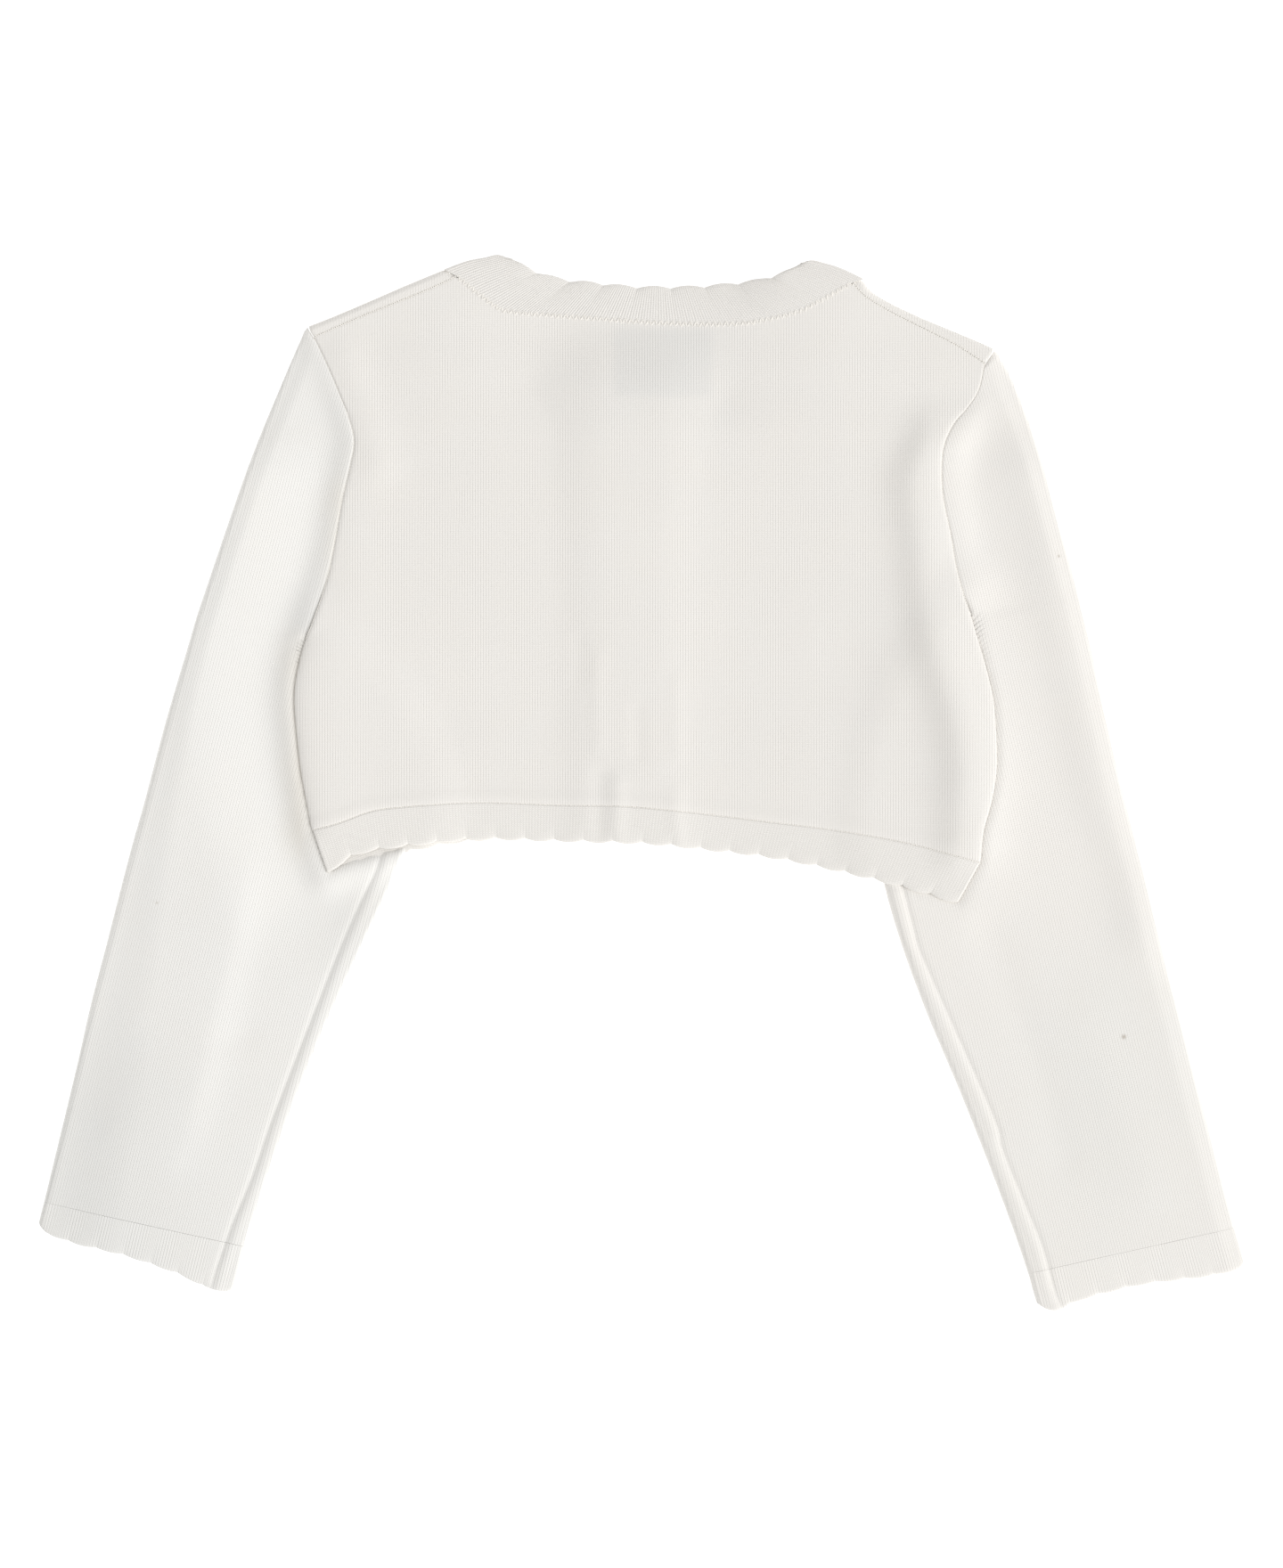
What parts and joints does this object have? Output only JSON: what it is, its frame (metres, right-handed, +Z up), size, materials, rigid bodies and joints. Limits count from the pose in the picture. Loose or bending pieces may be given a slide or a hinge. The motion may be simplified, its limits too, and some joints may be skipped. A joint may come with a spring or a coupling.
{
  "type": "cropped knitted cardigan laid flat",
  "caption": "Child's cropped off-white knitted cardigan with long sleeves and scalloped bands, laid flat with its back up.",
  "frame": {"origin": "on the surface that the garment lies on, under the middle of its outline", "axes": "+X across the garment from the wearer's left sleeve to the right one, +Y up the back to the neck, +Z up off the surface"},
  "size_m": [0.4878, 0.4258, 0.008],
  "materials": {
    "knit": "off-white fine plain knit, matt with a soft nap",
    "rib": "off-white knitted bands with scalloped edges, matt",
    "label": "plain woven tape, blank",
    "button": "off-white polished"
  },
  "bodies": {
    "root": {"back_panel": "knit", "front_left": "knit", "front_right": "knit", "sleeve_left": "knit", "sleeve_right": "knit", "cuff_left": "rib", "cuff_right": "rib", "hem_back": "rib", "hem_front_left": "rib", "hem_front_right": "rib", "neckband_back": "rib", "neckband_front_left": "rib", "neckband_front_right": "rib", "front_band_left": "rib", "front_band_right": "rib", "neck_label": "label", "button_1": "button", "button_2": "button", "button_3": "button", "button_4": "button"}
  },
  "joints": []
}
